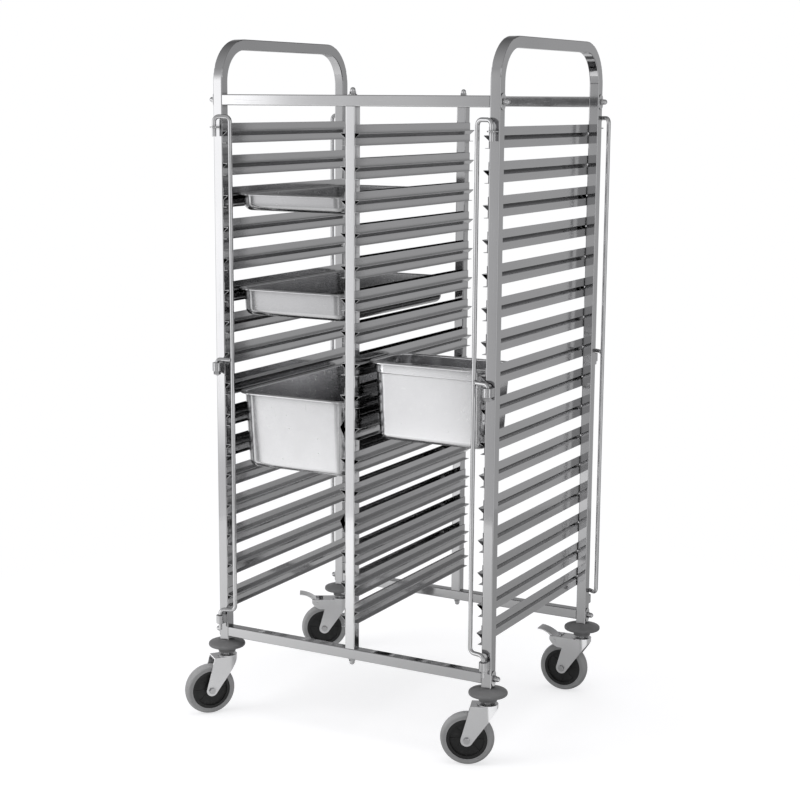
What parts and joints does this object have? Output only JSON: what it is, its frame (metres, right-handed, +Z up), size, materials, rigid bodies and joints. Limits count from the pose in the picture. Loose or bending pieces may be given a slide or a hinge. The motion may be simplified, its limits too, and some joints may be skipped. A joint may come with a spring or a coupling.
{
  "type": "tray trolley",
  "caption": "Tall open steel rack trolley with side-by-side columns of folded runners for food pans, bent tube handles, swinging retaining bars, braked swivel casters and bumper discs.",
  "frame": {"origin": "on the floor, midway between the four posts", "axes": "+Z up, +X to the right of someone facing the front, -Y towards the front"},
  "size_m": [0.8672, 0.6905, 1.636],
  "materials": {
    "tube": "satin",
    "runner": "satin",
    "pan": "satin",
    "rod": "polished",
    "bracket": "satin",
    "fastener": "polished",
    "zinc": "zinc plated",
    "tyre": "matte",
    "hub": "matte",
    "bumper": "matte",
    "plug": "matte"
  },
  "bodies": {
    "frame": {"left_end_frame": "tube", "right_end_frame": "tube", "front_centre_post": "tube", "back_centre_post": "tube", "front_top_rail": "tube", "back_top_rail": "tube", "front_bottom_rail": "tube", "back_bottom_rail": "tube", "left_runners": "runner", "centre_left_runners": "runner", "centre_right_runners": "runner", "right_runners": "runner", "rail_end_plugs": "plug", "centre_post_plugs": "plug", "frame_bolts": "fastener", "oval_washers": "fastener", "round_washers": "fastener", "dome_nuts": "fastener", "bar_top_tabs": "bracket", "bar_middle_bushes": "bracket", "bar_bottom_bushes": "bracket", "corner_bumpers": "bumper", "caster_plugs": "plug", "caster_heads": "zinc"},
    "front_left_retainer": {"front_left_bar": "rod", "front_left_bar_nut": "fastener"},
    "front_left_caster": {"front_left_fork": "zinc", "front_left_axle_bolt": "fastener", "front_left_axle_nut": "fastener"},
    "front_left_wheel": {"front_left_tyre": "tyre", "front_left_hub": "hub"},
    "front_right_retainer": {"front_right_bar": "rod", "front_right_bar_nut": "fastener"},
    "front_right_caster": {"front_right_fork": "zinc", "front_right_axle_bolt": "fastener", "front_right_axle_nut": "fastener"},
    "front_right_wheel": {"front_right_tyre": "tyre", "front_right_hub": "hub"},
    "back_left_retainer": {"back_left_bar": "rod", "back_left_bar_nut": "fastener"},
    "back_left_caster": {"back_left_fork": "zinc", "back_left_axle_bolt": "fastener", "back_left_axle_nut": "fastener"},
    "back_left_wheel": {"back_left_tyre": "tyre", "back_left_hub": "hub"},
    "back_left_brake": {"back_left_brake_pedal": "zinc"},
    "back_right_retainer": {"back_right_bar": "rod", "back_right_bar_nut": "fastener"},
    "back_right_caster": {"back_right_fork": "zinc", "back_right_axle_bolt": "fastener", "back_right_axle_nut": "fastener"},
    "back_right_wheel": {"back_right_tyre": "tyre", "back_right_hub": "hub"},
    "back_right_brake": {"back_right_brake_pedal": "zinc"},
    "shallow_pan_body": {"shallow_pan": "pan"},
    "medium_pan_body": {"medium_pan": "pan"},
    "deep_pan_body": {"deep_pan": "pan"},
    "shouldered_pan_body": {"shouldered_pan": "pan"}
  },
  "joints": [
    {"name": "front_left_bar_swing", "type": "hinge", "parent": "frame", "child": "front_left_retainer", "pos_m": [-0.3575, -0.305, 0.868], "axis": [0, 0, -1], "range_deg": [0, 226.32]},
    {"name": "front_left_swivel", "type": "hinge", "parent": "frame", "child": "front_left_caster", "pos_m": [-0.3575, -0.2775, 0.1425], "axis": [0, 0, 1], "continuous": true},
    {"name": "front_left_wheel_spin", "type": "hinge", "parent": "front_left_caster", "child": "front_left_wheel", "pos_m": [-0.38582, -0.31375, 0.0625], "axis": [-0.788, 0.6157, 0], "continuous": true},
    {"name": "front_right_bar_swing", "type": "hinge", "parent": "frame", "child": "front_right_retainer", "pos_m": [0.3575, -0.305, 0.868], "axis": [0, 0, 1], "range_deg": [0, 226.32]},
    {"name": "front_right_swivel", "type": "hinge", "parent": "frame", "child": "front_right_caster", "pos_m": [0.3575, -0.2775, 0.1425], "axis": [0, 0, 1], "continuous": true},
    {"name": "front_right_wheel_spin", "type": "hinge", "parent": "front_right_caster", "child": "front_right_wheel", "pos_m": [0.31485, -0.29473, 0.0625], "axis": [-0.3746, 0.9272, 0], "continuous": true},
    {"name": "back_left_bar_swing", "type": "hinge", "parent": "frame", "child": "back_left_retainer", "pos_m": [-0.3575, 0.305, 0.868], "axis": [0, 0, 1], "range_deg": [-209.32, 17]},
    {"name": "back_left_swivel", "type": "hinge", "parent": "frame", "child": "back_left_caster", "pos_m": [-0.3575, 0.2775, 0.1425], "axis": [0, 0, 1], "continuous": true},
    {"name": "back_left_wheel_spin", "type": "hinge", "parent": "back_left_caster", "child": "back_left_wheel", "pos_m": [-0.39693, 0.25381, 0.0625], "axis": [-0.515, 0.8572, 0], "continuous": true},
    {"name": "back_left_brake_press", "type": "hinge", "parent": "back_left_caster", "child": "back_left_brake", "pos_m": [-0.41407, 0.24351, 0.134], "axis": [0.515, -0.8572, 0], "range_deg": [0, 18]},
    {"name": "back_right_bar_swing", "type": "hinge", "parent": "frame", "child": "back_right_retainer", "pos_m": [0.3575, 0.305, 0.868], "axis": [0, 0, -1], "range_deg": [-226.32, 0]},
    {"name": "back_right_swivel", "type": "hinge", "parent": "frame", "child": "back_right_caster", "pos_m": [0.3575, 0.2775, 0.1425], "axis": [0, 0, 1], "continuous": true},
    {"name": "back_right_wheel_spin", "type": "hinge", "parent": "back_right_caster", "child": "back_right_wheel", "pos_m": [0.31156, 0.27509, 0.0625], "axis": [-0.0523, 0.9986, 0], "continuous": true},
    {"name": "back_right_brake_press", "type": "hinge", "parent": "back_right_caster", "child": "back_right_brake", "pos_m": [0.29159, 0.27405, 0.134], "axis": [0.0523, -0.9986, 0], "range_deg": [0, 18]},
    {"name": "shallow_pan_slide", "type": "slide", "parent": "frame", "child": "shallow_pan_body", "axis": [0, 1, 0], "range_m": [0, 0.45]},
    {"name": "medium_pan_slide", "type": "slide", "parent": "frame", "child": "medium_pan_body", "axis": [0, 1, 0], "range_m": [0, 0.45]},
    {"name": "deep_pan_slide", "type": "slide", "parent": "frame", "child": "deep_pan_body", "axis": [0, 1, 0], "range_m": [0, 0.45]},
    {"name": "shouldered_pan_slide", "type": "slide", "parent": "frame", "child": "shouldered_pan_body", "axis": [0, 1, 0], "range_m": [0, 0.45]}
  ]
}
